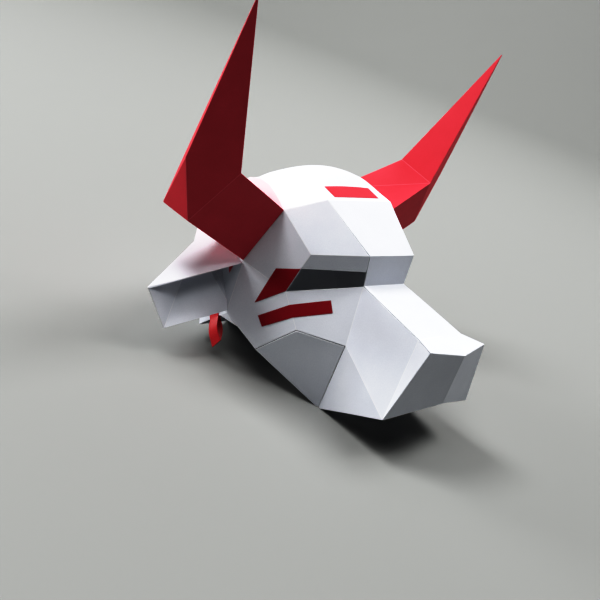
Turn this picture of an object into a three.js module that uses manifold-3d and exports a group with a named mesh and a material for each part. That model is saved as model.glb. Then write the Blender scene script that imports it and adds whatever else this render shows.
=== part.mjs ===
// Bull-head mask of folded card: white panels over face and crown, hollow red horns, scoop ears.
// Millimetres. The folds are laid out as worn (x across, -y to the front, z up from eye level),
// then the whole mask is pitched back onto its jaw corners and nape rim, where it rests.
import * as THREE from 'three';
import { mergeVertices } from 'three/addons/utils/BufferGeometryUtils.js';
import Module from 'manifold-3d';

const wasm = await Module();
wasm.setup();

// Card and gaps
const card = 1.2;
const seam = 0.3;
const markCard = 1.0;

// Side walls: flat, parallel to the depth axis, leaning in towards the crown
const sideHalf = 111;
const sideHeight = 38;
const sideLean = 0.28;

// Centre strip over the crown
const stripHalf = 57;
const stripColumns = [-1, -0.7, -0.35, 0, 0.35, 0.7, 1];
const barRow = 1;

// Brow strip: how far it comes down the inner and outer ends of the eye socket
const browInnerDrop = 0.54;
const browOuterDrop = 0.39;

// Ribbon loop folded over the rim behind the ear
const ribbonWidth = 14;
const ribbonDrop = 32;
const ribbonLap = 6;
const ribbonCloth = 1.0;
const ribbonBack = 12;
const ribbonBendSteps = 6;

// Flap of a side wall behind the cheek: its shares of the cheek's rear edge and of the wall's rim
const flapShare = 0.376;
const flapReach = 0.22;

// Rest: depth of the flats where the jaw corners and the nape rim meet the table
const restFlat = 1.6;

// Cutting blocks, larger than the mask, and the distance within which corners are one
const blockSize = 800;
const weld = 1e-4;

// Fold corners of one half, as worn: half width, depth, height
const folds = {
  browInner: [40, -17, 44],
  browOuter: [86, 30, 46],
  eyeInner: [36, -5, 10],
  eyeOuter: [95, 59, 4],
  earTop: [sideAt(38), 112, 38],
  snoutBend: [40, -85, -44],
  noseTop: [52, -109, -55],
  noseLow: [79, -67, -128],
  cheekFront: [64, -1, -56],
  cheekLow: [97, 42, -39],
  jawLow: [68, 35, -130],
  rimLow: [119, 86, -62],
  rimHigh: [sideAt(-22), 124, -22],
};

// Corners on the middle plane: depth, height
const middleFolds = {
  noseTip: [-117, -62],
  noseChin: [-89, -118],
};

// Rolled crown, a row for each section from the forehead over the top to the nape:
// strip edge depth and height, rise of the strip's middle, side wall edge depth and height, bulge between
const crownRows = [
  { stripY: 30, stripZ: 107, rise: 0, sideY: 62, sideZ: 95, bulge: 0 },
  { stripY: 35, stripZ: 110, rise: 0.5, sideY: 65, sideZ: 98.5, bulge: 0.5 },
  { stripY: 52, stripZ: 121.5, rise: 2.5, sideY: 77, sideZ: 111, bulge: 2 },
  { stripY: 73, stripZ: 136, rise: 7.5, sideY: 93, sideZ: 125, bulge: 3 },
  { stripY: 89, stripZ: 142, rise: 9.5, sideY: 110, sideZ: 133, bulge: 3 },
  { stripY: 111, stripZ: 143, rise: 8, sideY: 128, sideZ: 135, bulge: 3 },
  { stripY: 135, stripZ: 139, rise: 6, sideY: 145, sideZ: 131, bulge: 3 },
  { stripY: 158, stripZ: 130, rise: 6, sideY: 159, sideZ: 121, bulge: 4 },
  { stripY: 179, stripZ: 114, rise: 6, sideY: 169, sideZ: 105, bulge: 4 },
  { stripY: 194, stripZ: 92, rise: 6, sideY: 175, sideZ: 84, bulge: 4 },
  { stripY: 203, stripZ: 64, rise: 6, sideY: 178, sideZ: 58, bulge: 4 },
  { stripY: 206, stripZ: 31, rise: 6, sideY: 177, sideZ: 28, bulge: 4 },
  { stripY: 204, stripZ: -4, rise: 6, sideY: 173, sideZ: -5, bulge: 4 },
  { stripY: 199, stripZ: -42, rise: 6, sideY: 167, sideZ: -38, bulge: 4 },
];
const lastRow = crownRows.length - 1;

// Horn corners of one half: four at the bend, one on the outer edge, the tip, and two feet on the side wall
const hornFolds = {
  bendFront: [170, 52, 133],
  bendLow: [203, 101, 83],
  bendBack: [206, 139, 104],
  bendTop: [167, 97, 166],
  outerEdge: [226.5, 75, 148],
  tip: [218.5, -25.5, 299],
  footBack: [sideAt(69), 150, 69],
  footTop: [sideAt(130), 133, 130],
};
const hornRoot = 8;

// Ear corners of one half
const earFolds = {
  tip: [226, 142, 12],
  topBack: [141, 164, 60],
  ridge: [126, 175, 76],
  lobe: [204, 143, -35],
  footBack: [sideAt(60), 164, 60],
};
const earDrop = 0.05;
const earRoot = 5;

// Pointed glue tab of the horn, flat on the side wall inside the ear: depth, height
const tabFolds = {
  front: [123, 37],
  back: [138, 44],
  point: [131, 23],
};

// Red marks, a row for each corner: shares of the panel edges that leave the outer eye corner
const eyePatchCorners = {
  fold: { earTop: 0.395 },
  top: { earTop: 0.395, browOuter: 0.289 },
  brow: { earTop: 0.01, browOuter: 0.6 },
  eye: { earTop: 0.01 },
  low: { earTop: 0.978, cheekLow: 1.086 },
};
const cheekStripeCorners = {
  foldTop: { cheekLow: 0.35 },
  foldLow: { cheekLow: 0.67 },
  rearTop: { earTop: 0.977, cheekLow: 1.423 },
  rearLow: { earTop: 0.945, cheekLow: 1.681 },
  frontTop: { eyeInner: 0.537, cheekLow: 0.306 },
  frontLow: { eyeInner: 0.518, cheekLow: 0.63 },
};

const white = { color: 0xf2f3f4, roughness: 0.62, metalness: 0 };
const red = { color: 0xb3121f, roughness: 0.6, metalness: 0 };

function sideAt(height) {
  return sideHalf + sideLean * (sideHeight - height);
}

// Corner table of the head, keyed by name and side: -1 wearer's right, 1 wearer's left
const corners = new Map();
const sides = { right: -1, left: 1 };

function key(name, side) {
  return `${name}.${side}`;
}

function put(name, side, [half, depth, height]) {
  corners.set(key(name, side), new THREE.Vector3(side * half, depth, height));
}

function at(name) {
  return corners.get(name);
}

function between(from, to, part) {
  return new THREE.Vector3().lerpVectors(from, to, part);
}

function layOutHead() {
  for (const side of Object.values(sides)) {
    for (const [name, place] of Object.entries(folds)) put(name, side, place);
    const browIn = between(at(key('browInner', side)), at(key('eyeInner', side)), browInnerDrop);
    const browOut = between(at(key('browOuter', side)), at(key('eyeOuter', side)), browOuterDrop);
    corners.set(key('socketInner', side), browIn);
    corners.set(key('socketOuter', side), browOut);
  }
  for (const [name, [depth, height]] of Object.entries(middleFolds)) put(name, 0, [0, depth, height]);
  crownRows.forEach((row, i) => {
    const before = crownRows[Math.max(i - 1, 0)];
    const after = crownRows[Math.min(i + 1, crownRows.length - 1)];
    const run = new THREE.Vector2(after.stripY - before.stripY, after.stripZ - before.stripZ).normalize();
    stripColumns.forEach((u, j) => {
      const lift = row.rise * (1 - u * u);
      const point = new THREE.Vector3(u * stripHalf, row.stripY - run.y * lift, row.stripZ + run.x * lift);
      corners.set(`strip.${i}.${j}`, point);
    });
    for (const side of Object.values(sides)) {
      put(`edge.${i}`, side, [sideAt(row.sideZ), row.sideY, row.sideZ]);
      const edge = at(key(`edge.${i}`, side));
      const strip = at(stripEdge(i, side));
      const along = new THREE.Vector3(0, run.x, run.y);
      const out = new THREE.Vector3().subVectors(edge, strip).cross(along).multiplyScalar(-side).normalize();
      corners.set(key(`band.${i}`, side), between(strip, edge, 0.5).addScaledVector(out, row.bulge));
    }
  });
  for (const side of Object.values(sides)) {
    const rimHigh = at(key('rimHigh', side));
    corners.set(key('flapLow', side), between(rimHigh, at(key('rimLow', side)), flapShare));
    corners.set(key('flapBack', side), between(rimHigh, at(key(`edge.${lastRow}`, side)), flapReach));
  }
}

function stripEdge(row, side) {
  return `strip.${row}.${side < 0 ? 0 : stripColumns.length - 1}`;
}

layOutHead();

// Normal of a nearly flat polygon, by summing over its edges
function polygonNormal(points) {
  const normal = new THREE.Vector3();
  points.forEach((a, i) => {
    const b = points[(i + 1) % points.length];
    normal.x += (a.y - b.y) * (a.z + b.z);
    normal.y += (a.z - b.z) * (a.x + b.x);
    normal.z += (a.x - b.x) * (a.y + b.y);
  });
  return normal.normalize();
}

// Polygon turned to face away from the inside, with its normal and its triangles
function facet(names, table, inside) {
  let ring = names;
  let points = ring.map((name) => table.get(name));
  let normal = polygonNormal(points);
  const middle = points.reduce((sum, p) => sum.add(p), new THREE.Vector3()).divideScalar(points.length);
  if (middle.sub(inside).dot(normal) < 0) {
    ring = [...names].reverse();
    points = ring.map((name) => table.get(name));
    normal = polygonNormal(points);
  }
  const across = new THREE.Vector3().subVectors(points[1], points[0]).projectOnPlane(normal).normalize();
  const upward = new THREE.Vector3().crossVectors(normal, across);
  const flat = points.map((p) => new THREE.Vector2(p.dot(across), p.dot(upward)));
  const triangles = THREE.ShapeUtils.triangulateShape(flat, []).map((t) => t.map((i) => ring[i]));
  return { ring, normal, triangles };
}

// Smallest vector whose length along each direction equals the wanted reach
function meet(directions, reach) {
  const m = new THREE.Matrix3().set(weld, 0, 0, 0, weld, 0, 0, 0, weld);
  const sum = new THREE.Vector3();
  for (const d of directions) {
    const e = m.elements;
    [d.x, d.y, d.z].forEach((a, i) => [d.x, d.y, d.z].forEach((b, j) => { e[3 * j + i] += a * b; }));
    sum.addScaledVector(d, reach);
  }
  return sum.applyMatrix3(m.invert());
}

// Folded sheets: each piece is a list of polygons, all pieces share the mitred offset at common
// corners, and pieces that share an edge stand half a seam back from it
function foldSheets(pieces, table, inside, outerReach, innerReach) {
  const folded = Object.entries(pieces).map(([name, polygons]) => {
    return { name, facets: polygons.map((polygon) => facet(polygon, table, inside)) };
  });
  const normals = new Map();
  const edgeOwners = new Map();
  for (const piece of folded) {
    for (const { ring, normal } of piece.facets) {
      ring.forEach((a, i) => {
        const b = ring[(i + 1) % ring.length];
        normals.set(a, [...(normals.get(a) ?? []), normal]);
        const edge = [a, b].sort().join('|');
        edgeOwners.set(edge, (edgeOwners.get(edge) ?? new Set()).add(piece.name));
      });
    }
  }
  const mitre = new Map([...normals].map(([name, list]) => [name, meet(list, 1)]));
  const sheets = {};
  for (const piece of folded) {
    sheets[piece.name] = sheet(piece, table, mitre, edgeOwners, [outerReach, innerReach]);
  }
  return sheets;
}

// One sheet with its outer and inner skin and the rim between them
function sheet(piece, table, mitre, edgeOwners, reaches) {
  const used = new Map();
  for (const { ring } of piece.facets) {
    ring.forEach((a, i) => used.set(`${a}|${ring[(i + 1) % ring.length]}`, true));
  }
  const rim = [];
  const pull = new Map();
  for (const { ring, normal } of piece.facets) {
    ring.forEach((a, i) => {
      const b = ring[(i + 1) % ring.length];
      if (used.has(`${b}|${a}`)) return;
      rim.push([a, b]);
      if (edgeOwners.get([a, b].sort().join('|')).size < 2) return;
      const inward = new THREE.Vector3().subVectors(table.get(b), table.get(a)).normalize();
      inward.crossVectors(normal, inward);
      for (const end of [a, b]) pull.set(end, [...(pull.get(end) ?? []), inward]);
    });
  }
  const names = [...new Set(piece.facets.flatMap(({ ring }) => ring))];
  const order = new Map(names.map((name, i) => [name, i]));
  const positions = [];
  for (const reach of reaches) {
    for (const name of names) {
      const point = table.get(name).clone().addScaledVector(mitre.get(name), reach);
      if (pull.has(name)) point.add(meet(pull.get(name), seam / 2));
      positions.push(point.x, point.y, point.z);
    }
  }
  const count = names.length;
  const index = [];
  for (const { triangles } of piece.facets) {
    for (const [a, b, c] of triangles.map((t) => t.map((name) => order.get(name)))) {
      index.push(a, b, c, count + a, count + c, count + b);
    }
  }
  for (const [a, b] of rim.map((edge) => edge.map((name) => order.get(name)))) {
    index.push(b, a, count + a, b, count + a, count + b);
  }
  const geometry = new THREE.BufferGeometry();
  geometry.setAttribute('position', new THREE.Float32BufferAttribute(positions, 3));
  geometry.setIndex(index);
  return geometry;
}

function toSolid(geometry) {
  const bare = geometry.clone();
  bare.deleteAttribute('normal');
  bare.deleteAttribute('uv');
  const merged = mergeVertices(bare, weld);
  const mesh = new wasm.Mesh({
    numProp: 3,
    vertProperties: new Float32Array(merged.attributes.position.array),
    triVerts: new Uint32Array(merged.index.array),
  });
  return new wasm.Manifold(mesh);
}

function toGeometry(solid) {
  const mesh = solid.getMesh();
  const geometry = new THREE.BufferGeometry();
  geometry.setAttribute('position', new THREE.Float32BufferAttribute(mesh.vertProperties, 3));
  geometry.setIndex(Array.from(mesh.triVerts));
  return geometry;
}

function cut(geometry, tool) {
  return toGeometry(toSolid(geometry).subtract(toSolid(tool)));
}

// Block that fills the head out to a seam beyond one side wall
function headBlock(side) {
  const block = new THREE.BoxGeometry(blockSize, blockSize, blockSize);
  const reach = seam * Math.hypot(1, sideLean);
  block.translate(-blockSize / 2, 0, 0);
  block.rotateY(-Math.atan(sideLean));
  block.translate(sideHalf + reach, 0, sideHeight);
  if (side < 0) block.rotateZ(Math.PI);
  return block;
}

// White panels of face and crown
function headPieces() {
  const strip = [];
  for (let i = 0; i < lastRow; i += 1) {
    for (let j = 0; j < stripColumns.length - 1; j += 1) strip.push(...stripPatch(i, j));
  }
  const foreheadEdge = stripColumns.map((u, j) => `strip.0.${j}`);
  strip.push([...foreheadEdge, 'browInner.1', 'browInner.-1']);
  strip.push(['browInner.-1', 'browInner.1', 'socketInner.1', 'eyeInner.1', 'eyeInner.-1', 'socketInner.-1']);
  strip.push(['eyeInner.-1', 'eyeInner.1', 'snoutBend.1', 'snoutBend.-1']);
  strip.push(['snoutBend.-1', 'snoutBend.1', 'noseTip.0']);
  strip.push(['snoutBend.-1', 'noseTip.0', 'noseTop.-1']);
  strip.push(['snoutBend.1', 'noseTop.1', 'noseTip.0']);
  const pieces = { centre_strip: strip };
  pieces.nose_front = Object.values(sides).map((side) => {
    return [key('noseTop', side), 'noseTip.0', 'noseChin.0', key('noseLow', side)];
  });
  for (const [word, side] of Object.entries(sides)) {
    const panel = (...names) => names.map((name) => key(name, side));
    pieces[`face_side_${word}`] = [
      [stripEdge(0, side), ...panel('browInner', 'browOuter', 'edge.0', 'band.0')],
      panel('browInner', 'browOuter', 'socketOuter', 'socketInner'),
      panel('browOuter', 'edge.0', 'earTop', 'eyeOuter', 'socketOuter'),
      panel('earTop', 'eyeOuter', 'cheekLow', 'rimLow', 'flapLow', 'rimHigh'),
      panel('eyeOuter', 'eyeInner', 'cheekFront', 'cheekLow'),
      panel('eyeInner', 'snoutBend', 'noseLow', 'cheekFront'),
      panel('snoutBend', 'noseTop', 'noseLow'),
      panel('cheekFront', 'noseLow', 'jawLow'),
    ];
    pieces[`jaw_${word}`] = [panel('cheekLow', 'cheekFront', 'jawLow', 'rimLow')];
    const band = [];
    for (let i = 0; i < lastRow; i += 1) {
      const across = (row) => [stripEdge(row, side), ...panel(`band.${row}`, `edge.${row}`)];
      const upper = across(i);
      const lower = across(i + 1);
      band.push(...quad(upper[0], upper[1], lower[1], lower[0]));
      band.push(...quad(upper[1], upper[2], lower[2], lower[1]));
    }
    pieces[`crown_side_${word}`] = band;
    const edges = crownRows.map((row, i) => key(`edge.${i}`, side));
    pieces[`side_panel_${word}`] = [
      [...edges, ...panel('flapBack', 'rimHigh', 'earTop')],
      panel('rimHigh', 'flapLow', 'flapBack'),
    ];
  }
  return pieces;
}

// A twisted four-sided patch as two triangles
function quad(a, b, c, d) {
  return [[a, b, c], [a, c, d]];
}

// Patch of the centre strip between two rows and two columns
function stripPatch(i, j) {
  return quad(`strip.${i}.${j}`, `strip.${i}.${j + 1}`, `strip.${i + 1}.${j + 1}`, `strip.${i + 1}.${j}`);
}

// Corner table for a horn or an ear, with its foot carried on into the head
function sideTable(named, side) {
  const table = new Map();
  for (const [name, [half, depth, height]] of Object.entries(named)) {
    table.set(name, new THREE.Vector3(side * half, depth, height));
  }
  return table;
}

function carryOn(table, name, foot, from, length) {
  const along = new THREE.Vector3().subVectors(foot, from).normalize();
  table.set(name, foot.clone().addScaledVector(along, length));
}

function horn(side) {
  const table = sideTable(hornFolds, side);
  const bend = ['bendFront', 'bendLow', 'bendBack', 'bendTop'].map((name) => table.get(name));
  carryOn(table, 'footFront', at(key('edge.0', side)), bend[0], hornRoot);
  carryOn(table, 'footLow', at(key('earTop', side)), bend[1], hornRoot);
  carryOn(table, 'footBack', table.get('footBack'), bend[2], hornRoot);
  carryOn(table, 'footTop', table.get('footTop'), bend[3], hornRoot);
  const inside = bend.reduce((sum, p) => sum.add(p), new THREE.Vector3()).divideScalar(bend.length);
  const polygons = [
    ['footFront', 'footLow', 'bendLow', 'bendFront'],
    ...quad('footLow', 'footBack', 'bendBack', 'bendLow'),
    ...quad('footBack', 'footTop', 'bendTop', 'bendBack'),
    ...quad('footTop', 'footFront', 'bendFront', 'bendTop'),
    ['bendFront', 'bendLow', 'outerEdge', 'tip'],
    ['bendLow', 'bendBack', 'outerEdge'],
    ['bendBack', 'tip', 'outerEdge'],
    ['bendBack', 'bendTop', 'tip'],
    ['bendTop', 'bendFront', 'tip'],
  ];
  const { horn: shell } = foldSheets({ horn: polygons }, table, inside, 0, -card);
  return cut(shell, headBlock(side));
}

function ear(side) {
  const table = sideTable(earFolds, side);
  const rootTop = between(at(key('earTop', side)), at(key('rimHigh', side)), earDrop);
  const rootLow = between(at(key('rimHigh', side)), at(key('earTop', side)), earDrop);
  carryOn(table, 'rootTop', rootTop, table.get('tip'), earRoot);
  carryOn(table, 'rootLow', rootLow, table.get('lobe'), earRoot);
  carryOn(table, 'footBack', table.get('footBack'), table.get('ridge'), earRoot);
  const inside = between(rootTop, rootLow, 0.5);
  const polygons = [
    ['rootTop', 'tip', 'topBack'],
    ['rootTop', 'topBack', 'ridge'],
    ['rootTop', 'ridge', 'footBack'],
    ['tip', 'lobe', 'topBack'],
    ['topBack', 'lobe', 'rootLow'],
    ['topBack', 'rootLow', 'ridge'],
    ['ridge', 'rootLow', 'footBack'],
  ];
  const { ear: shell } = foldSheets({ ear: polygons }, table, inside, 0, -card);
  return cut(shell, headBlock(side));
}

// Red marks: thin card laid a seam off the panels and bent over the same folds
const headInside = new THREE.Vector3(0, 60, -60);

function markTable(rows, side) {
  const origin = at(key('eyeOuter', side));
  return new Map(Object.entries(rows).map(([name, shares]) => {
    const point = origin.clone();
    for (const [corner, share] of Object.entries(shares)) {
      point.addScaledVector(new THREE.Vector3().subVectors(at(key(corner, side)), origin), share);
    }
    return [name, point];
  }));
}

function mark(polygons, table) {
  return foldSheets({ mark: polygons }, table, headInside, seam + markCard, seam).mark;
}

function eyePatch(side) {
  return mark([['fold', 'top', 'brow', 'eye'], ['fold', 'eye', 'low']], markTable(eyePatchCorners, side));
}

function cheekStripe(side) {
  const rear = ['rearTop', 'foldTop', 'foldLow', 'rearLow'];
  const front = ['foldTop', 'frontTop', 'frontLow', 'foldLow'];
  return mark([rear, front], markTable(cheekStripeCorners, side));
}

function hornTab(side) {
  const table = new Map();
  for (const [name, [depth, height]] of Object.entries(tabFolds)) {
    table.set(name, new THREE.Vector3(side * sideAt(height), depth, height));
  }
  return mark([Object.keys(tabFolds)], table);
}

function foreheadBar() {
  const polygons = [];
  for (let j = 1; j < stripColumns.length - 2; j += 1) polygons.push(...stripPatch(barRow, j));
  return mark(polygons, corners);
}

// Rest pose: pitch back until the jaw corners and the nape rim lie on one level
const nape = crownRows.at(-1);
const restPitch = Math.atan2(nape.stripZ - folds.jawLow[2], nape.stripY - folds.jawLow[1]);
const toRest = new THREE.Matrix4().makeRotationX(-restPitch);

// Ribbon folded over the lower rim of a side wall, hanging straight below it at rest
function ribbonLoop(side) {
  const rimStart = at(key('rimHigh', side));
  const rimEnd = at(key(`edge.${lastRow}`, side));
  const along = new THREE.Vector3().subVectors(rimEnd, rimStart).normalize();
  const out = new THREE.Vector3(side, 0, sideLean).normalize();
  const down = new THREE.Vector3().crossVectors(along, out).multiplyScalar(side);
  const inner = card / 2 + seam;
  const outer = inner + ribbonCloth;
  const profile = new THREE.Shape();
  profile.moveTo(-outer, ribbonLap);
  profile.lineTo(-outer, inner - ribbonDrop);
  profile.absarc(0, inner - ribbonDrop, outer, Math.PI, 2 * Math.PI, false);
  profile.lineTo(outer, ribbonLap);
  profile.lineTo(inner, ribbonLap);
  profile.lineTo(inner, inner - ribbonDrop);
  profile.absarc(0, inner - ribbonDrop, inner, 2 * Math.PI, Math.PI, true);
  profile.lineTo(-inner, ribbonLap);
  const run = { depth: ribbonWidth, bevelEnabled: false, curveSegments: ribbonBendSteps };
  const loop = new THREE.ExtrudeGeometry(profile, run);
  const up = down.clone().negate();
  const third = new THREE.Vector3().crossVectors(out, up);
  const place = rimStart.clone().addScaledVector(along, ribbonBack).addScaledVector(out, -card / 2);
  if (third.dot(along) < 0) place.addScaledVector(along, ribbonWidth);
  loop.applyMatrix4(new THREE.Matrix4().makeBasis(out, up, third).setPosition(place));
  return loop;
}

// Table block that trims the flats the mask rests on
function tableBlock() {
  const block = new THREE.BoxGeometry(blockSize, blockSize, blockSize);
  const jaw = at(key('jawLow', sides.right)).clone().applyMatrix4(toRest);
  block.translate(0, 0, jaw.z + restFlat - blockSize / 2);
  return block;
}

const mask = new THREE.Group();
mask.name = 'bull_mask';

function add(name, geometry, look) {
  const mesh = new THREE.Mesh(geometry, new THREE.MeshStandardMaterial(look));
  mesh.name = name;
  mask.add(mesh);
}

const table = tableBlock();
for (const [name, geometry] of Object.entries(foldSheets(headPieces(), corners, headInside, 0, -card))) {
  add(name, cut(geometry.applyMatrix4(toRest), table), white);
}
add('forehead_bar', foreheadBar().applyMatrix4(toRest), red);
for (const [word, side] of Object.entries(sides)) {
  add(`horn_${word}`, horn(side).applyMatrix4(toRest), red);
  add(`ear_${word}`, ear(side).applyMatrix4(toRest), white);
  add(`eye_patch_${word}`, eyePatch(side).applyMatrix4(toRest), red);
  add(`cheek_stripe_${word}`, cheekStripe(side).applyMatrix4(toRest), red);
  add(`horn_tab_${word}`, hornTab(side).applyMatrix4(toRest), red);
  add(`ribbon_loop_${word}`, ribbonLoop(side).applyMatrix4(toRest), red);
}

// Origin at the middle of the footprint, on the table
const box = new THREE.Box3().setFromObject(mask);
const middle = box.getCenter(new THREE.Vector3());
for (const mesh of mask.children) mesh.geometry.translate(0, -middle.y, -box.min.z);

export default mask;
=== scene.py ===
import math

import bmesh
import bpy
import numpy as np
from mathutils import Matrix, Vector, noise
from mathutils.bvhtree import BVHTree


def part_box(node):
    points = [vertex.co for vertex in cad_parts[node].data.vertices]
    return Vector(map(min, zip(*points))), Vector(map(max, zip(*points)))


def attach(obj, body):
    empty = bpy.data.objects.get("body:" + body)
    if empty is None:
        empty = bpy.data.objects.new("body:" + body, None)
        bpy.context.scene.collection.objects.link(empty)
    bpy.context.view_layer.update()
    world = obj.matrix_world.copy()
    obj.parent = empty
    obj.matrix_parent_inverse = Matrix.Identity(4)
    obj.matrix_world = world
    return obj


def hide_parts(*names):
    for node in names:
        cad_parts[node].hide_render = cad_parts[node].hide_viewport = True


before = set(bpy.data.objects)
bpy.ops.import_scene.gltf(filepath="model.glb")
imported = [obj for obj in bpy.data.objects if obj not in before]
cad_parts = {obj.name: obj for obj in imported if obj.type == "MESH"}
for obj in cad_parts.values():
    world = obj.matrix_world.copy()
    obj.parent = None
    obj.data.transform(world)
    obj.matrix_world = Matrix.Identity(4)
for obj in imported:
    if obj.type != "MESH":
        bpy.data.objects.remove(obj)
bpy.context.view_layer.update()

mm = 0.001  # the frame is in metres, sizes below are in millimetres
print("frame loaded:", len(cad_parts), "card pieces")


def linearColour(hexCode):  # sRGB hex to linear RGBA
    channels = [int(hexCode[i:i + 2], 16) / 255 for i in (1, 3, 5)]
    return [c / 12.92 if c <= 0.04045 else ((c + 0.055) / 1.055) ** 2.4 for c in channels] + [1.0]


# inputs maps a socket's name or number to a value or to another node's output
def addNode(tree, kind, inputs=None, **settings):
    node = tree.nodes.new(kind)
    for name, value in settings.items():
        setattr(node, name, value)
    for socket, value in (inputs or {}).items():
        if isinstance(value, bpy.types.NodeSocket):
            tree.links.new(value, node.inputs[socket])
        else:
            node.inputs[socket].default_value = value
    return node


def newMaterial(name):
    material = bpy.data.materials.new(name)
    material.use_nodes = True
    tree = material.node_tree
    tree.nodes.clear()
    return material, tree


# camera: the photograph's angle to the mask, from in front of the wearer's right side and above the muzzle
view = {
    "place": (-854.0, -600.5, 520.4),
    "right": (0.68513, -0.64185, 0.34441),
    "up": (0.05951, 0.52056, 0.85175),
    "lens": 56.4,
    "sensor": 36.0,
}


def makeCamera():
    right, up = Vector(view["right"]).normalized(), Vector(view["up"]).normalized()
    back = right.cross(up)
    camera = bpy.data.objects.new("camera", bpy.data.cameras.new("camera"))
    turn = Matrix((right, up, back)).transposed().to_4x4()
    camera.matrix_world = Matrix.Translation(Vector(view["place"]) * mm) @ turn
    camera.data.lens = view["lens"]
    camera.data.sensor_width = view["sensor"]
    bpy.context.scene.collection.objects.link(camera)
    bpy.context.scene.camera = camera


makeCamera()
print("camera set")


# bristol board, calendered smooth, cut and scored: clean near-white, matte with a faint satin, and a little
# cloudy with fibre
whiteCard = {
    "sheet": "#e6e9f0",
    "cloud": "#dee1e9",  # fibre clumps hold a little less light
    "edge": "#fdfdfe",  # painted highlight: folds and cut edges drawn brighter than the sheet, as where light catches a fold
    "fibre": 1.4,  # mm; real fibres are about 0.05 mm wide, drawn coarse enough to show
    "clump": 38.0,  # mm
    "roughness": (0.54, 0.66),
    "bump": 0.05,
    "ior": 1.5,
    "specular": 0.5,
}
# cover card dyed in the pulp, pressed: deep even red, a low satin under a lamp, and a painted highlight
# along folds and cut edges
redCard = {
    "sheet": "#da364a",
    "cloud": "#d02e41",
    # painted highlight: paler red along folds and cut edges, where the light catches them
    "edge": "#ea6073",
    "fibre": 1.2,  # mm, coarser than the real fibres, as above
    "clump": 30.0,  # mm
    "roughness": (0.62, 0.74),
    "bump": 0.06,
    "ior": 1.47,
    "specular": 0.6,
}
# thin red paper for the marks beside the eyes, dead matte: darker than the horns' red as painted shade,
# since these marks lie in shade
markPaperShaded = {
    "sheet": "#9c1124",
    "cloud": "#920d1f",
    "edge": "#ad2638",
    "fibre": 1.0,  # mm, coarser than the real fibres, as above
    "clump": 22.0,  # mm
    "roughness": (0.78, 0.9),
    "bump": 0.05,
    "ior": 1.47,
    "specular": 0.25,
}


napDepth = 0.2  # mm from the tops of a card's fibres to the hollows between them


def cardMaterial(name, look):
    material, tree = newMaterial(name)
    place = addNode(tree, "ShaderNodeTexCoord").outputs["Object"]
    clumps = addNode(tree, "ShaderNodeTexNoise", {
        "Vector": place, "Scale": 1 / (look["clump"] * mm), "Detail": 4.0, "Roughness": 0.55})
    fibres = addNode(tree, "ShaderNodeTexNoise", {
        "Vector": place, "Scale": 1 / (look["fibre"] * mm), "Detail": 3.0, "Roughness": 0.6})
    mottle = addNode(tree, "ShaderNodeMath", {
        0: clumps.outputs["Fac"], 1: fibres.outputs["Fac"]}, operation="MULTIPLY")
    spread = addNode(tree, "ShaderNodeMapRange", {
        "Value": mottle.outputs[0], "From Min": 0.12, "From Max": 0.42})  # the mottle's usual range
    paper = addNode(tree, "ShaderNodeMix", {
        "Factor": spread.outputs[0], 6: linearColour(look["cloud"]), 7: linearColour(look["sheet"])},
        data_type="RGBA")
    fold = addNode(tree, "ShaderNodeAttribute", attribute_name="fold")  # 1 along folds and cut edges, where the edge colour paints a highlight
    # painted highlight: the edge colour mixed in along folds and cut edges
    scored = addNode(tree, "ShaderNodeMix", {
        "Factor": fold.outputs["Fac"], 6: paper.outputs[2], 7: linearColour(look["edge"])},
        data_type="RGBA")
    low, high = look["roughness"]
    nap = addNode(tree, "ShaderNodeMapRange", {
        "Value": fibres.outputs["Fac"], "From Min": 0.3, "From Max": 0.7, "To Min": low, "To Max": high})
    grain = addNode(tree, "ShaderNodeBump", {
        "Strength": look["bump"], "Distance": napDepth * mm, "Height": fibres.outputs["Fac"]})
    shader = addNode(tree, "ShaderNodeBsdfPrincipled", {
        "Base Color": scored.outputs[2], "IOR": look["ior"], "Specular IOR Level": look["specular"],
        "Roughness": nap.outputs[0], "Normal": grain.outputs[0]})
    addNode(tree, "ShaderNodeOutputMaterial", {"Surface": shader.outputs[0]})
    return material


# satin ribbon, woven: close warp threads give a soft sheen along the hang
satin = {
    "thread": "#ee1a30",
    "shade": "#b80d1c",  # painted shade between the threads
    "spacing": 0.9,  # mm; real warp threads lie about 0.1 mm apart, drawn coarse enough to show
    "threadDepth": 0.1,  # mm
    "roughness": 0.38,
    "sheen": 0.08,
    "ior": 1.5,
}


def ribbonMaterial():
    material, tree = newMaterial("satin_ribbon_woven")
    place = addNode(tree, "ShaderNodeTexCoord").outputs["UV"]
    bands = math.pi / (10 * satin["spacing"] * mm)  # a wave texture repeats every pi / (10 * scale)
    warp = addNode(tree, "ShaderNodeTexWave", {
        "Vector": place, "Scale": bands, "Distortion": 0.6, "Detail": 1.0}, bands_direction="X")
    # the weave drawn as the thread colour, with painted shade between the threads
    thread = addNode(tree, "ShaderNodeMix", {
        "Factor": warp.outputs["Fac"], 6: linearColour(satin["shade"]), 7: linearColour(satin["thread"])},
        data_type="RGBA")
    ridge = addNode(tree, "ShaderNodeBump", {
        "Strength": 0.25, "Distance": satin["threadDepth"] * mm, "Height": warp.outputs["Fac"]})
    shader = addNode(tree, "ShaderNodeBsdfPrincipled", {
        "Base Color": thread.outputs[2], "Roughness": satin["roughness"], "IOR": satin["ior"],
        "Sheen Weight": satin["sheen"], "Normal": ridge.outputs[0]})
    addNode(tree, "ShaderNodeOutputMaterial", {"Surface": shader.outputs[0]})
    return material


whiteBoard = cardMaterial("bristol_board_cut_and_scored", whiteCard)
redBoard = cardMaterial("red_cover_card_cut_and_scored", redCard)
shadedMarkPaper = cardMaterial("red_paper_cut_and_glued_painted_shade", markPaperShaded)
print("card materials made")


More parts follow.
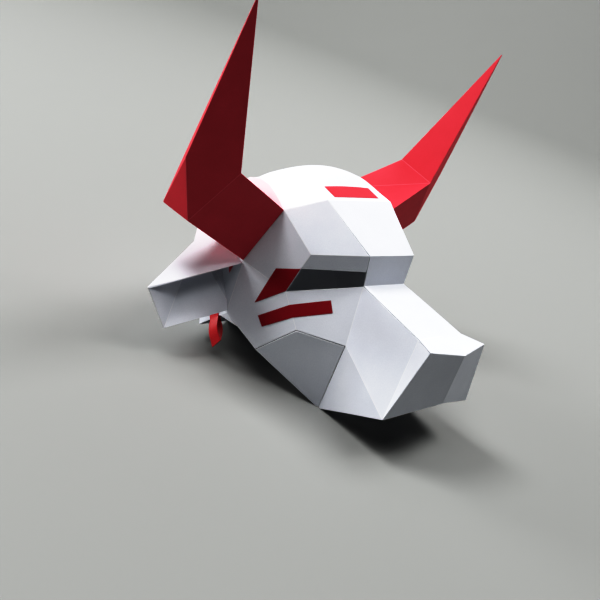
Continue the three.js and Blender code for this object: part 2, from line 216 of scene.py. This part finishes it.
# folded card pieces: the CAD sheets with rounded folds, eased cut edges and the slight bow of glued card
folding = {
    "foldEase": 0.42,  # mm from a fold or cut edge to where the panel is flat
    "steps": 2,  # faces across a rounded fold
    "bow": 0.45,  # mm a panel bellies out of flat
    "bowSpan": 95.0,  # mm between one belly and the next
    "bowSeed": 5,  # another number gives another bow
    "bowRise": 30.0,  # mm above the table where the bow has its full depth, so the rims stay on the table
    "levels": 2,  # subdivisions of each panel
    "hornEase": 0.6,  # mm, for the thicker red card
    "seamGap": 0.58,  # mm each white sheet is trimmed back outside, so a glued seam shows as a fine line
    "seamShut": 0.13,  # mm each sheet grows where the glued seam is shut
    "rimWidth": 1.6,  # mm; narrower faces are the sheet's cut edges
    "rollLimit": 45.0,  # degrees; sharper edges in the rolled crown are its rims
    "foldLimit": 6.5,  # degrees; anything sharper after subdivision is a fold or a rim
    "throwLimit": 0.5,  # share of the ease; a corner thrown further off the sheet goes back onto it
    "weld": 0.01,  # mm between corners that are one
    "flatLimit": 0.4,  # degrees; flatter neighbours are one panel
    "pairLimit": (20, 50),  # degrees between two triangles, and off square, that still make one panel
    "tableLevel": 0.6,  # mm; lower corners rest on the table and stay where they are
    "sameCut": 0.98,  # cosine between cut edges that count as one
    "markHeight": 0.3,  # share of its CAD height that a mark keeps above the panel it is glued to
    "glue": 0.02,  # mm of glue under a mark
}
rolledNodes = ("centre_strip", "crown_side_right", "crown_side_left")
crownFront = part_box("forehead_bar")[0].y - 1 * mm  # the roll starts just in front of the forehead bar
seamBack = 30 * mm  # only the face's seams show, those over the crown are pressed shut
hollowMiddle = Vector((0.0, -18.6, 48.2)) * mm  # seen from here, a panel's outer side faces away


def openSheet(node):  # the CAD solid as panels of one face each, with its cut edges marked
    bm = bmesh.new()
    bm.from_mesh(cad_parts[node].data)
    bmesh.ops.remove_doubles(bm, verts=bm.verts, dist=folding["weld"] * mm)
    flat = math.radians(folding["flatLimit"])
    bmesh.ops.dissolve_limit(bm, angle_limit=flat, verts=bm.verts, edges=bm.edges)
    triangles = [f for f in bm.faces if len(f.verts) == 3]
    bend, skew = [math.radians(limit) for limit in folding["pairLimit"]]
    bmesh.ops.join_triangles(bm, faces=triangles, angle_face_threshold=bend, angle_shape_threshold=skew)
    bmesh.ops.connect_verts_concave(bm, faces=bm.faces)  # a notched panel is split before it is subdivided
    rim = bm.faces.layers.int.new("rim")
    corner = bm.edges.layers.int.new("corner")
    for face in bm.faces:
        face[rim] = int(2 * face.calc_area() / face.calc_perimeter() < folding["rimWidth"] * mm)
    for edge in bm.edges:
        edge[corner] = int(all(f[rim] for f in edge.link_faces))
    return bm


def trimRims(bm, opens):  # sheets meet at their seams, and those of the face open outside to a fine line
    rim = bm.faces.layers.int["rim"]
    moves = []
    for vert in bm.verts:
        cuts = []
        outward = 0.0
        for face in vert.link_faces:
            if not face[rim]:
                outward += face.normal.dot(vert.co - hollowMiddle)
            elif all(face.normal.dot(c) < folding["sameCut"] for c in cuts):
                cuts.append(face.normal.copy())
        onTable = vert.co.z < folding["tableLevel"] * mm
        if cuts and not onTable:
            shows = opens and outward > 0 and vert.co.y < seamBack
            reach = -folding["seamGap"] if shows else folding["seamShut"]
            step = np.linalg.lstsq(np.array(cuts), np.full(len(cuts), reach * mm), rcond=0.2)[0]
            moves.append((vert, Vector(step)))
    for vert, step in moves:
        vert.co += step


def creaseFolds(bm, node):  # folds stay sharp in the subdivision, and the crown's facets roll smooth
    layer = bm.edges.layers.float.new("crease_edge")
    for edge in bm.edges:
        angle = math.degrees(edge.calc_face_angle(0.0))
        inCrown = node in rolledNodes and all(v.co.y > crownFront for v in edge.verts)
        edge[layer] = 0.0 if inCrown and angle < folding["rollLimit"] else 1.0


def subdivided(bm, name):
    mesh = bpy.data.meshes.new(name)
    bm.to_mesh(mesh)
    bm.free()
    sheet = bpy.data.objects.new(name, mesh)
    bpy.context.scene.collection.objects.link(sheet)
    roll = sheet.modifiers.new("panels", "SUBSURF")
    roll.levels = roll.render_levels = folding["levels"]
    graph = bpy.context.evaluated_depsgraph_get()
    fine = bpy.data.meshes.new_from_object(sheet.evaluated_get(graph))
    sheet.modifiers.clear()
    sheet.data = fine
    bpy.data.meshes.remove(mesh)
    return sheet


def joinRims(bm):  # a cut edge goes back to one face across the card
    rim = bm.faces.layers.int["rim"]
    corner = bm.edges.layers.int["corner"]
    shortest = folding["rimWidth"] * mm / 2 ** folding["levels"]
    along = []
    for edge in bm.edges:
        inRim = all(f[rim] for f in edge.link_faces) and not edge[corner]
        if inRim and edge.calc_length() > shortest:
            along.append(edge)
    bmesh.ops.dissolve_edges(bm, edges=along, use_verts=True)


def bowPanels(bm):  # one smooth field for the whole mask, so seams stay closed
    noise.seed_set(folding["bowSeed"])
    for vert in bm.verts:
        where = vert.co / (folding["bowSpan"] * mm)
        lift = min(1.0, max(0.0, vert.co.z / (folding["bowRise"] * mm)))
        vert.co += noise.noise_vector(where) * folding["bow"] * mm * lift


def roundFolds(bm, ease):  # and marks the rounded strips for the materials
    fold = bm.verts.layers.float.new("fold")
    flat = BVHTree.FromBMesh(bm)
    limit = math.radians(folding["foldLimit"])
    sharp = [e for e in bm.edges if e.calc_face_angle(0.0) > limit]
    made = bmesh.ops.bevel(bm, geom=sharp, offset=ease * mm, segments=folding["steps"], profile=0.5,
                           affect="EDGES", clamp_overlap=False)
    rounded = set(made["faces"])
    for vert in {v for face in rounded for v in face.verts}:
        vert[fold] = 1.0 if all(f in rounded for f in vert.link_faces) else 0.0
        place, _, _, away = flat.find_nearest(vert.co)
        if away > folding["throwLimit"] * ease * mm:
            vert.co = place


def layOn(bm, carrier):  # a mark is pressed down on the panel that it is glued to
    panels = bpy.data.objects[carrier]
    under = BVHTree.FromObject(panels, bpy.context.evaluated_depsgraph_get())
    for vert in bm.verts:
        place, facing, _, away = under.find_nearest(vert.co)
        if (vert.co - place).dot(facing) < 0:
            facing = -facing
        vert.co = place + facing * (away * folding["markHeight"] + folding["glue"] * mm)


def cardPiece(node, material, ease=folding["foldEase"], carrier=None):
    bm = openSheet(node)
    if node in whiteNodes:
        trimRims(bm, node in seamNodes)
    creaseFolds(bm, node)
    piece = subdivided(bm, node + "_card")
    bm = bmesh.new()
    bm.from_mesh(piece.data)
    joinRims(bm)
    if not carrier:
        roundFolds(bm, ease)
    bowPanels(bm)
    if carrier:
        layOn(bm, carrier)
    for face in bm.faces:
        face.smooth = True
    bm.to_mesh(piece.data)
    bm.free()
    weigh = piece.modifiers.new("flat panels", "WEIGHTED_NORMAL")
    weigh.keep_sharp = True
    piece.data.materials.clear()
    piece.data.materials.append(material)
    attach(piece, "root")
    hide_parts(node)


whiteNodes = ["centre_strip", "nose_front"]
seamNodes = ["centre_strip", "nose_front"]
redNodes = []
markNodes = [("forehead_bar", "centre_strip_card")]
for side in ("right", "left"):
    whiteNodes += [part + "_" + side for part in ("face_side", "jaw", "crown_side", "side_panel", "ear")]
    faceSheet = "face_side_" + side
    seamNodes += [faceSheet, "jaw_" + side]
    redNodes += ["horn_" + side, "horn_tab_" + side]
    markNodes += [(mark + "_" + side, faceSheet + "_card") for mark in ("eye_patch", "cheek_stripe")]
for node in whiteNodes:
    cardPiece(node, whiteBoard)
print("white panels folded:", len(whiteNodes))
for node in redNodes:
    cardPiece(node, redBoard, ease=folding["hornEase"])
print("horns folded:", len(redNodes))
# the lit forehead bar takes the horns' red, and the marks in shade take the darker red with painted shade
for node, carrier in markNodes:
    cardPiece(node, redBoard if node == "forehead_bar" else shadedMarkPaper, carrier=carrier)
print("marks laid on:", len(markNodes))


# ribbon loops: a length of satin folded once and glued over the side wall's lower rim
ribbon = {
    "width": 14.0,  # mm
    "cloth": 0.4,  # mm thick
    "lap": 6.0,  # mm glued above the rim on each face of the wall
    "drop": 32.0,  # mm from the rim to the fold
    "belly": 3.2,  # mm each leg stands out at its widest
    "grip": 1.15,  # mm from the middle of the wall to the glued cloth
    "foldRadius": 0.4,  # mm
    "foldSteps": 6,
    "slant": 2.4,  # mm the fold's corners hang above and below its middle
    "curl": 0.25,  # mm the edges curl out near the fold
    "lapSteps": 4,
    "legSteps": 26,
    "acrossSteps": 8,
}


def ribbonFrame(node):  # the CAD loop's middle at the rim, and the ways across, out of the wall and up
    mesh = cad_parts[node].data
    points = np.array([v.co[:] for v in mesh.vertices])
    runs = [points[e.vertices[1]] - points[e.vertices[0]] for e in mesh.edges]
    lengths = [np.linalg.norm(r) for r in runs]
    legs = [r / l for r, l in zip(runs, lengths) if l > (ribbon["drop"] + ribbon["lap"] - 2) * mm]
    up = np.median([r * np.sign(r[2]) for r in legs], axis=0)
    rows = [r / l for r, l in zip(runs, lengths) if abs(l - ribbon["width"] * mm) < 0.05 * mm]
    across = np.median([r * np.sign(r[2]) for r in rows], axis=0)
    out = np.cross(across, up)
    out *= np.sign(out[0]) * np.sign(points[:, 0].mean())
    middle = [(points @ d).min() / 2 + (points @ d).max() / 2 for d in (across, out)]
    rim = (points @ up).max() - ribbon["lap"] * mm
    return [Vector(d) for d in (across, out, up)], (middle[0], middle[1], rim)


def ribbonPath():  # out and up along the cloth's middle, from one glued end round the fold to the other
    laps = ribbon["lapSteps"]
    leg = [(ribbon["grip"], ribbon["lap"] * (1 - i / laps), 0.0) for i in range(laps)]
    for i in range(ribbon["legSteps"] + 1):
        s = i / ribbon["legSteps"]
        width = ribbon["grip"] * (1 - s ** 3) + ribbon["belly"] * math.sin(math.pi * s) ** 1.3
        leg.append((width + ribbon["foldRadius"] * s ** 3, -s * (ribbon["drop"] - ribbon["foldRadius"]), s))
    turn = []
    for i in range(1, ribbon["foldSteps"]):
        angle = math.pi * i / ribbon["foldSteps"]
        turn.append((ribbon["foldRadius"] * math.cos(angle),
                     -ribbon["drop"] + ribbon["foldRadius"] * (1 - math.sin(angle)), 1.0))
    return leg + turn + [(-u, v, s) for u, v, s in reversed(leg)]


def ribbonLoop(side, material):
    (across, out, up), (midAcross, midOut, rim) = ribbonFrame("ribbon_loop_" + side)
    path = ribbonPath()
    columns = ribbon["acrossSteps"] + 1
    verts = []
    reach = [0.0]
    for (u0, v0, _), (u1, v1, _) in zip(path, path[1:]):
        reach.append(reach[-1] + math.hypot(u1 - u0, v1 - v0))
    for u, v, s in path:
        for i in range(columns):
            w = i / ribbon["acrossSteps"] * 2 - 1
            sag = ribbon["slant"] * w * s ** 1.5
            curl = ribbon["curl"] * (w * w - 0.4) * s
            verts.append(across * (midAcross + w * ribbon["width"] / 2 * mm)
                         + out * (midOut + (u + math.copysign(curl, u)) * mm)
                         + up * (rim + (v + sag) * mm))
    faces = []
    for row in range(len(path) - 1):
        for i in range(columns - 1):
            a = row * columns + i
            faces.append((a, a + 1, a + columns + 1, a + columns))
    mesh = bpy.data.meshes.new("ribbon_loop_" + side + "_satin")
    mesh.from_pydata(verts, [], faces)
    weave = mesh.uv_layers.new(name="weave")
    for corner in mesh.loops:
        row, i = divmod(corner.vertex_index, columns)
        weave.data[corner.index].uv = (i / ribbon["acrossSteps"] * ribbon["width"] * mm, reach[row] * mm)
    mesh.shade_smooth()
    mesh.materials.append(material)
    piece = bpy.data.objects.new(mesh.name, mesh)
    bpy.context.scene.collection.objects.link(piece)
    cloth = piece.modifiers.new("cloth", "SOLIDIFY")
    cloth.thickness = ribbon["cloth"] * mm
    cloth.offset = 0.0
    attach(piece, "root")
    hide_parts("ribbon_loop_" + side)


ribbonSatin = ribbonMaterial()
for side in ("right", "left"):
    ribbonLoop(side, ribbonSatin)
print("ribbon loops folded over the rims")


# stage: a pale floor of board painted by roller, sweeping up behind the mask: even, with a faint stipple
stage = {
    "paint": "#989997",
    "stipple": 6.0,  # mm; a roller leaves marks of 1 or 2 mm, drawn coarse enough to show
    "stippleDepth": 0.2,  # mm
    "facing": 38.0,  # degrees from +X to the side where the floor sweeps up
    "flat": 2.3,  # m of floor before the sweep, from under the mask
    "sweep": 1.2,  # m radius of the sweep
    "sweepSteps": 24,
    "wall": 3.0,  # m of wall above it
    "front": 30.0,  # m of floor on the near side
    "half": 30.0,  # m of floor to the left and to the right
    "skyColour": "#dfe3e8",
    "skyStrength": 0.015,
}
# soft light from above and behind: turn in degrees from straight in front of the mask, negative towards the
# wearer's right, height in degrees above the floor, then metres away, metres across and watts
lampAim = Vector((0.0, -0.02, 0.15))  # the middle of the mask
lamps = [
    {"name": "key_softbox", "turn": -137, "height": 55, "away": 3.0, "size": 1.1, "power": 58.0},
    {"name": "side_softbox", "turn": 86, "height": 57, "away": 3.0, "size": 1.2, "power": 43.0},
    {"name": "rim_softbox", "turn": -150, "height": 15, "away": 3.0, "size": 1.1, "power": 46.0},
    {"name": "front_softbox", "turn": 50, "height": 68, "away": 3.0, "size": 1.2, "power": 16.0},
    {"name": "overhead_softbox", "turn": -95, "height": 66, "away": 3.0, "size": 1.6, "power": 16.0},
]
backdropLamp = {"from": (1.1, 0.85, 2.3), "to": (2.9, 2.2, 0.6), "size": 1.6, "power": 30.0}  # in metres
floodLamps = {  # they face away from the mask and keep the floor pale all round
    "turns": (8, 68, 188, 248, 308),  # degrees, as for the lamps
    "away": 2.4,  # m
    "height": 2.2,  # m
    "reach": 9.0,  # m from the mask to the floor that they aim at
    "size": 1.6,
    "power": 26.0,
}
printCurve = [(0.1, 0.043), (0.25, 0.19), (0.5, 0.545), (0.7, 0.83)]  # a little contrast, as a camera gives


def makeFloor():
    material, tree = newMaterial("painted_board_rolled")
    place = addNode(tree, "ShaderNodeTexCoord").outputs["Object"]
    stipple = addNode(tree, "ShaderNodeTexNoise", {
        "Vector": place, "Scale": 1 / (stage["stipple"] * mm), "Detail": 2.0})
    grain = addNode(tree, "ShaderNodeBump", {
        "Strength": 0.03, "Distance": stage["stippleDepth"] * mm, "Height": stipple.outputs["Fac"]})
    shader = addNode(tree, "ShaderNodeBsdfPrincipled", {
        "Base Color": linearColour(stage["paint"]), "Roughness": 0.7, "Normal": grain.outputs[0]})
    addNode(tree, "ShaderNodeOutputMaterial", {"Surface": shader.outputs[0]})
    profile = [(-stage["front"], 0.0), (stage["flat"], 0.0)]
    for i in range(1, stage["sweepSteps"] + 1):
        bend = math.radians(90 * i / stage["sweepSteps"])
        run = stage["flat"] + stage["sweep"] * math.sin(bend)
        profile.append((run, stage["sweep"] * (1 - math.cos(bend))))
    profile.append((profile[-1][0], profile[-1][1] + stage["wall"]))
    facing = math.radians(stage["facing"])
    ahead = Vector((math.cos(facing), math.sin(facing), 0))
    aside = Vector((-math.sin(facing), math.cos(facing), 0))
    verts = []
    for run, rise in profile:
        for end in (-1, 1):
            verts.append(ahead * run + aside * end * stage["half"] + Vector((0, 0, rise)))
    mesh = bpy.data.meshes.new("floor")
    mesh.from_pydata(verts, [], [(2 * i, 2 * i + 1, 2 * i + 3, 2 * i + 2) for i in range(len(profile) - 1)])
    mesh.shade_smooth()
    mesh.materials.append(material)
    floor = bpy.data.objects.new("floor", mesh)
    bpy.context.scene.collection.objects.link(floor)


def softbox(name, place, aim, size, power):
    light = bpy.data.lights.new(name, "AREA")
    light.shape = "DISK"
    light.size = size
    light.energy = power
    source = bpy.data.objects.new(name, light)
    source.location = place
    source.rotation_euler = (aim - place).to_track_quat("-Z", "Y").to_euler()
    source.visible_camera = False
    bpy.context.scene.collection.objects.link(source)


def makeLights():
    for lamp in lamps:
        turn, height = math.radians(lamp["turn"]), math.radians(lamp["height"])
        level = math.cos(height)
        beam = Vector((math.sin(turn) * level, -math.cos(turn) * level, math.sin(height)))
        softbox(lamp["name"], lampAim + beam * lamp["away"], lampAim, lamp["size"], lamp["power"])
    place, aim = Vector(backdropLamp["from"]), Vector(backdropLamp["to"])
    softbox("backdrop_softbox", place, aim, backdropLamp["size"], backdropLamp["power"])
    for degrees in floodLamps["turns"]:
        turn = math.radians(degrees)
        ahead = Vector((math.sin(turn), -math.cos(turn), 0.0))
        place = ahead * floodLamps["away"] + Vector((0.0, 0.0, floodLamps["height"]))
        aim = ahead * floodLamps["reach"]
        softbox("flood_softbox_%d" % degrees, place, aim, floodLamps["size"], floodLamps["power"])
    world = bpy.data.worlds.new("studio")
    world.use_nodes = True
    sky = world.node_tree.nodes["Background"]
    sky.inputs["Color"].default_value = linearColour(stage["skyColour"])
    sky.inputs["Strength"].default_value = stage["skyStrength"]
    bpy.context.scene.world = world
    look = bpy.context.scene.view_settings
    look.view_transform = "Standard"
    look.use_curve_mapping = True
    look.curve_mapping.extend = "EXTRAPOLATED"
    allChannels = look.curve_mapping.curves[3]
    for shade, shown in printCurve:
        allChannels.points.new(shade, shown)
    look.curve_mapping.update()


makeFloor()
makeLights()
print("stage and lights set")
